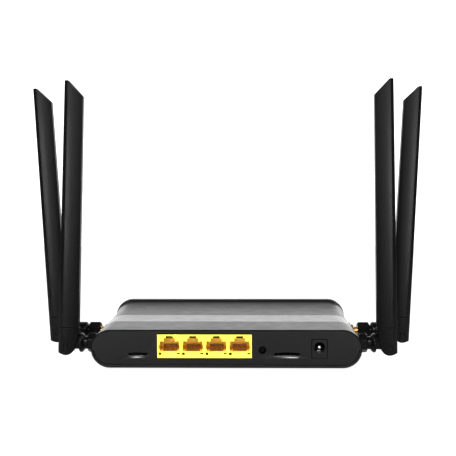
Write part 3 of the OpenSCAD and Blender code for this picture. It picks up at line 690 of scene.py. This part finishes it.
def jack(y, end):
    """Threaded jack from its root in the casing to its end outside, with a contact in its mouth."""
    root, start, pitch, crest, groove = SIDE_X - 9, SIDE_X - 3.5, 0.7, 3.15, 0.34
    flange_start, flange_end = SIDE_X - 6, SIDE_X - 3.9
    root_r, flange_r, contact_r, hole_r = 2, 4.4, 0.8, 0.5
    mouth_end, contact_end, hole_end = end - 3.6, end - 0.6, end - 3

    def thread(along, radius, angle):
        if radius < 3 or not start <= along <= end - 0.2:
            return radius
        phase = (along / pitch + angle / TAU) % 1
        return radius - groove * abs(2 * phase - 1)

    rows = 80
    profile = [(root, 0), (root, root_r), (flange_start, root_r), (flange_start, flange_r)]
    profile += [(flange_end, flange_r), (flange_end, crest)]
    profile += [(start + (end - 0.2 - start) * k / rows, crest) for k in range(rows + 1)]
    profile += [(end, 2.85), (end, 2.4), (mouth_end, 2.35), (mouth_end, contact_r)]
    profile += [(contact_end, contact_r), (contact_end, hole_r), (hole_end, hole_r), (hole_end, 0)]
    return turned(profile, (0, y, JACK_Z), "x", 96, thread)


def washer_and_nut(y):
    """Round washer against the casing with a chamfered hexagon nut on it."""
    foot, bore_r, washer_r, thick, corner_r, chamfer = SIDE_X + 0.2, 3.18, 4.6, 0.5, 4.4, 0.5
    top = foot + 2.3
    flats = hexagon(2 * corner_r * math.cos(math.pi / 6), math.pi / 6)

    def shape(along, radius, angle):
        return min(radius, flats(angle)) if along > foot + thick + 0.01 and radius > 3.5 else radius

    loop = [(foot, bore_r), (foot, washer_r), (foot + thick, washer_r), (foot + thick + 0.02, corner_r)]
    loop += [(top - 0.4 + 0.4 * k / 6, corner_r - chamfer * k / 6) for k in range(7)]
    return turned([*loop, (top, bore_r)], (0, y, JACK_Z), "x", 96, shape)


def make_jacks():
    """Gold threaded jacks with washers and nuts, all four in one piece as in the CAD."""
    jacks, nuts = [], []
    for pair, end in JACK_ENDS.items():
        lo, hi = box_mm(pair + "_right_coupling_nut")
        y = (lo.y + hi.y) / 2
        jacks.append(jack(y, end))
        nuts.append(washer_and_nut(y))
    for name, parts, node in (("gold_jacks", jacks, "antenna_jacks"), ("gold_nuts", nuts, "jack_nuts")):
        bm = bmesh.new()
        for part in parts:
            bm.from_mesh(part)
            part.transform(Matrix.Scale(-1, 4, (1, 0, 0)))
            bm.from_mesh(part)
        piece(name, new_mesh(bm), node, sharp=30)


def mirrored(mesh, side):
    """The same mesh for the right side, and its mirror image for the left."""
    if side == "left":
        mesh.transform(Matrix.Scale(-1, 4, (1, 0, 0)))
        mesh.flip_normals()
    return mesh


def coupling_nut(start, end, y):
    """Hexagon nut with chamfered ends and a recess for the neck. A short one goes over its jack nut."""
    flats, bevel, outer_r, steps = 10.6, 0.9, 6.0, 8
    neck_bore_r, core_bore_r, thread_bore_r, skirt_bore_r = 3.95, 2.7, 3.2, 4.85
    recess, thread_end, skirt_end = end - 0.8, end - 1.6, start + 2.1
    hexa = hexagon(flats, math.pi / 6)
    loop = [(start + bevel * k / steps, outer_r - bevel + bevel * k / steps) for k in range(steps + 1)]
    loop += [(end - bevel + bevel * k / steps, outer_r - bevel * k / steps) for k in range(steps + 1)]
    loop += [(end, neck_bore_r + 0.25), (end - 0.25, neck_bore_r), (recess, neck_bore_r)]
    loop += [(recess, core_bore_r), (thread_end, core_bore_r), (thread_end, thread_bore_r)]
    if end - start < 6:
        loop += [(skirt_end, thread_bore_r), (skirt_end, skirt_bore_r), (start, skirt_bore_r)]
    else:
        loop += [(start + 0.3, thread_bore_r), (start, thread_bore_r + 0.3)]

    def shape(along, radius, angle):
        return min(radius, hexa(angle)) if radius > 5 else radius

    return turned(loop, (0, y, JACK_Z), "x", 120, shape)


def swivel_base(nut_end, collar, pin, y):
    """Bored neck seated in the nut, bevelled collar and flat tongue round the pin."""
    start, end = collar
    pin_x, pin_z = pin
    centre = (0, y, JACK_Z)
    bore_r, seat_r, neck_r, collar_r, eye_r, pin_hole_r = 2.6, 3.85, 4.0, 6.0, 3.3, 1.45
    bore_end, seat, tongue_start = nut_end + 2.05, nut_end - 0.75, end - 0.1
    low, high = y - 2.1, y + 2.1
    bevel, end_bevel, soft = (1.4 if end - start < 6 else 0.9), 0.5, 0.2
    profile = [(bore_end, 0), (bore_end, bore_r), (seat, bore_r), (seat, seat_r)]
    profile += [(nut_end + 0.05, seat_r), (nut_end + 0.1, 3.95), (nut_end + 0.2, neck_r)]
    profile += [(start - 0.01, neck_r), (start, collar_r - bevel), (start + bevel - soft, collar_r - soft)]
    profile += [(start + bevel - 0.05, 5.92), (start + bevel + soft, collar_r)]
    profile += [(end - end_bevel - soft, collar_r), (end - end_bevel + 0.05, 5.93)]
    profile += [(end - 0.2, 5.75), (end, 5.5), (end, 0)]
    root = combined(
        rod(tongue_start, pin_x - 2, neck_r, centre),
        ("INTERSECT", block((end - 0.2, low, 0), (pin_x, high, 40))),
    )
    outline = [(tongue_start, JACK_Z - 3.6), (pin_x - 3, pin_z - 1.7)]
    outline += arc((pin_x, pin_z), eye_r, -115, 72, 48)
    outline += [(pin_x - 1, pin_z + 3.1), (pin_x - 4.2, JACK_Z + 3.6), (tongue_start, JACK_Z + 3.6)]
    return combined(
        turned(profile, centre),
        ("UNION", root),
        ("UNION", prism(outline, "y", low, high)),
        ("DIFFERENCE", rod(y - 10, y + 10, pin_hole_r, (pin_x, 0, pin_z), "y", 64)),
    )


def blade_ring(squeeze=1.0):
    """Section of a blade: x outward and y across, rounded off towards the inner edge."""
    crest, curve_end, steps, half_thick, half_edge = 0.5, 2.8, 40, 4.3, 2.3
    half = []
    for k in range(steps + 1):
        x = BLADE_IN + (curve_end - BLADE_IN) * k / steps
        inward, outward = max(0, crest - x), max(0, x - crest)
        half.append((x, half_thick - 1.6 * (inward / 8) ** 2.2 - 0.03 * outward**2))
    edge = [(BLADE_OUT, half_edge), (BLADE_OUT, -half_edge)]
    return [(x, y * squeeze) for x, y in [*half, *edge, *[(x, -y) for x, y in half[::-1]]]]


def antenna_sleeve():
    """Long hollow blade over the fork's plug, thinner at the tip, which is cut off at a slant."""
    low, high, rows, top_squeeze = BLADE_FOOT + 0.1, BLADE_TIP + 1, 12, 6.4 / 8.6
    bm = bmesh.new()
    rings = []
    for k in range(rows + 1):
        z = low + (high - low) * k / rows
        rings.append([bm.verts.new((x, y, z)) for x, y in blade_ring(1 - (1 - top_squeeze) * k / rows)])
    bm.faces.new(rings[0])
    bm.faces.new(rings[-1])
    for below, above in zip(rings, rings[1:]):
        for i, j in zip(range(-1, len(below) - 1), range(len(below))):
            bm.faces.new((below[i], below[j], above[j], above[i]))
    outline = [(BLADE_IN, 11), (BLADE_IN + 0.4, BLADE_TIP - 9.6), (2.3, BLADE_TIP), (4.6, BLADE_TIP)]
    sides = prism([*outline, (BLADE_OUT, 11)], "y", -10, 10)
    hollow = block((-4.3, -2.3, 10.8), (2.7, 2.3, BLADE_TIP - 12))
    return combined(new_mesh(bm), ("INTERSECT", sides), ("DIFFERENCE", hollow))


def antenna_base():
    """Fork of an antenna about its pin: x outward, z up."""
    gap, tongue_room, pin_r = 2.3, 3.65, 1.43
    outline = [(BLADE_OUT, BLADE_FOOT), (BLADE_OUT, -4), (4.65, -4.35), (1.5, -5.19)]
    outline += arc((0, 0), PIVOT_R, 279, 187.5, 48)
    outline += [(BLADE_IN, 6.5), (BLADE_IN, BLADE_FOOT)]
    slot = arc((0, 0), tongue_room, 0, 90, 24)
    slot += [(0, 7.6), (-12, 7.6), (-12, -12), (2.4, -12), (2.4, -2.75)]
    slot += arc((0, 0), tongue_room, -48.9, 0, 16)[:-1]
    dimples = []
    for side in (1, -1):
        profile = [(4 * side, 0), (4 * side, 1.2), (4.5 * side, 1.7), (4.5 * side, 0)]
        dimples.append(turned(profile, (0, 0, 0), "y", 64))
    return combined(
        prism(outline, "y", -10, 10),
        ("INTERSECT", prism(blade_ring(), "z", -10, BLADE_FOOT)),
        ("UNION", block((-4.2, -2.2, BLADE_FOOT - 0.5), (2.6, 2.2, BLADE_FOOT + 8))),
        ("DIFFERENCE", prism(slot, "y", -gap, gap)),
        ("DIFFERENCE", rod(-3.5, 3.5, pin_r, (0, 0, 0), "y", 64)),
        *[("DIFFERENCE", dimple) for dimple in dimples],
    )


def hinge_pin(lo, hi, centre):
    """Pin with chamfered ends."""
    r, chamfer = 1.4, 0.2
    profile = [(lo.y, 0), (lo.y, r - chamfer), (lo.y + chamfer, r)]
    profile += [(hi.y - chamfer, r), (hi.y, r - chamfer), (hi.y, 0)]
    return turned(profile, centre, "y", 48)


def make_antenna(pair, side, fork, sleeve):
    """Nut, swivel, pin, fork and blade of one antenna, as on the right and mirrored for the left."""
    antenna = f"{pair}_{side}"
    who = antenna + "_"
    lo, hi = box_mm(who + "coupling_nut")
    y = (lo.y + hi.y) / 2
    start, end = sorted((abs(lo.x), abs(hi.x)))
    piece(who + "nut", mirrored(coupling_nut(start, end, y), side), who + "coupling_nut", sharp=28)

    pin_lo, pin_hi = box_mm(who + "hinge_pin")
    pin_x, pin_z = (pin_lo.x + pin_hi.x) / 2, (pin_lo.z + pin_hi.z) / 2
    collar_end = abs(pin_x) - COLLAR_TO_PIN
    collar = (collar_end - COLLAR_LENGTHS[pair], collar_end)
    base = welded(swivel_base(end, collar, (abs(pin_x), pin_z), y))
    piece(who + "swivel", mirrored(base, side), who + "swivel_base", sharp=28)
    piece(who + "pin", hinge_pin(pin_lo, pin_hi, (pin_x, 0, pin_z)), who + "hinge_pin")

    parts = (("fork", "antenna_base", fork, 0.2), ("sleeve", "antenna_sleeve", sleeve, 0.3))
    for name, node, shape, edge in parts:
        mesh = shape.copy()
        mesh.transform(Matrix.Rotation(math.radians(LEANS[antenna]), 4, "Y"))
        mesh.transform(Matrix.Translation((abs(pin_x), y, pin_z)))
        piece(who + name, mirrored(mesh, side), who + node, edge, segments=2, sharp=25)


def make_antennas():
    """Four antennas of the same shape, each with its own place and lean."""
    fork, sleeve = welded(antenna_base()), welded(antenna_sleeve())
    for pair in ("rear", "front"):
        for side in ("left", "right"):
            make_antenna(pair, side, fork, sleeve)


# ---------------------------------------------------------------- studio


FLOOR_FRONT, BEND_START, BEND_R, BACKDROP_TOP, HALF_FLOOR = -0.42, 0.9, 0.6, 3.0, 0.5
FLOOR_GLOW, BACKDROP_GLOW = 0.9, 1.45


def make_studio():
    """A plain pale floor that curves up, behind the router, into a backdrop with more light on it."""
    rows = [(FLOOR_FRONT, 0.0), (BEND_START, 0.0)]
    rows += [(BEND_START + y, z) for y, z in arc((0, BEND_R), BEND_R, -90, 0, 16)[1:]]
    rows += [(BEND_START + BEND_R, BACKDROP_TOP)]
    bm = bmesh.new()
    sides = [[bm.verts.new((x, y, z)) for y, z in rows] for x in (-HALF_FLOOR, HALF_FLOOR)]
    for k in range(len(rows) - 1):
        bm.faces.new((sides[0][k], sides[1][k], sides[1][k + 1], sides[0][k + 1]))
    mesh = bpy.data.meshes.new("floor")
    bm.to_mesh(mesh)
    bm.free()
    for name, glow in (("pale_floor", FLOOR_GLOW), ("pale_backdrop", BACKDROP_GLOW)):
        m = Nodes(name).set(Base_Color=(0.22, 0.22, 0.22, 1), Roughness=0.9, IOR=1.1)
        m.set(Emission_Color=(1, 1, 1, 1), Emission_Strength=glow)
        mesh.materials.append(m.material)
    for face in mesh.polygons:
        face.use_smooth = True
        face.material_index = int(face.center.y > BEND_START)
    floor = bpy.data.objects.new("floor", mesh)
    bpy.context.scene.collection.objects.link(floor)


WHITE_TO_LOOK_AT = 1.05
ALL_ROUND_LIGHT = 0.15


def make_sky():
    """White to look at. As light, it is bright behind the camera and the router and dim at the sides."""
    world = bpy.data.worlds.new("studio")
    bpy.context.scene.world = world
    world.use_nodes = True
    tree = world.node_tree
    background = tree.nodes["Background"]

    def add(kind, **settings):
        node = tree.nodes.new(kind)
        for key, value in settings.items():
            setattr(node, key, value)
        return node

    axes = add("ShaderNodeSeparateXYZ")
    tree.links.new(add("ShaderNodeTexCoord").outputs["Generated"], axes.inputs[0])

    def lobe(axis, start, end, amount):
        node = add("ShaderNodeMapRange", interpolation_type="SMOOTHSTEP")
        node.inputs["From Min"].default_value = start
        node.inputs["From Max"].default_value = end
        node.inputs["To Max"].default_value = amount
        tree.links.new(axes.outputs[axis], node.inputs["Value"])
        return node.outputs[0]

    def total(a, b):
        node = add("ShaderNodeMath", operation="ADD")
        tree.links.new(a, node.inputs[0])
        tree.links.new(b, node.inputs[1])
        return node.outputs[0]

    behind_camera, behind_router = lobe("Y", -0.93, -0.995, 5.0), lobe("Y", 0.73, 0.97, 4.3)
    overhead = lobe("Z", 0.15, 0.8, 0.1)
    base = add("ShaderNodeValue").outputs[0]
    base.default_value = ALL_ROUND_LIGHT
    light = total(total(behind_camera, behind_router), total(overhead, base))
    seen = add("ShaderNodeMix", data_type="FLOAT")
    tree.links.new(add("ShaderNodeLightPath").outputs["Is Camera Ray"], seen.inputs["Factor"])
    tree.links.new(light, seen.inputs["A"])
    seen.inputs["B"].default_value = WHITE_TO_LOOK_AT
    background.inputs["Color"].default_value = (1, 1, 1, 1)
    tree.links.new(seen.outputs[0], background.inputs["Strength"])


def soft_light(name, place, aim, size, watts, spread=180):
    """A round area light, with its sizes in metres and its spread in degrees."""
    data = bpy.data.lights.new(name, "AREA")
    data.shape, data.size, data.energy = "DISK", size, watts
    data.spread = math.radians(spread)
    light = bpy.data.objects.new(name, data)
    light.location = place
    light.rotation_euler = (Vector(aim) - Vector(place)).to_track_quat("-Z", "Y").to_euler()
    bpy.context.scene.collection.objects.link(light)


def make_lights():
    """A soft light from each of four sides, and two faint low ones that graze the blades' outer halves."""
    soft_light("front_softbox", (-0.1, -1.0, 0.85), (0, 0, 0.02), 0.5, 22)
    soft_light("left_softbox", (-1.2, 0, 1.3), (0, 0, 0), 1.0, 12)
    soft_light("right_softbox", (1.2, 0.1, 1.3), (0, 0, 0), 1.0, 16)
    soft_light("back_softbox", (0.9, 1.2, 0.45), (0, 0, 0), 0.6, 4)
    for side in (-1, 1):
        soft_light("low_softbox", (0.42 * side, -1.0, 0.12), (0.14 * side, 0, 0.17), 0.2, 0.17, 22)


bpy.context.scene.view_settings.view_transform = "Standard"
make_camera()
dress_cad_nodes()
make_covers()
make_strip()
make_rear_panel()
refined("lan_port_housing", 0.12, segments=2)
make_contacts()
make_power_jack()
make_reset_button()
make_jacks()
make_antennas()
make_studio()
make_sky()
make_lights()
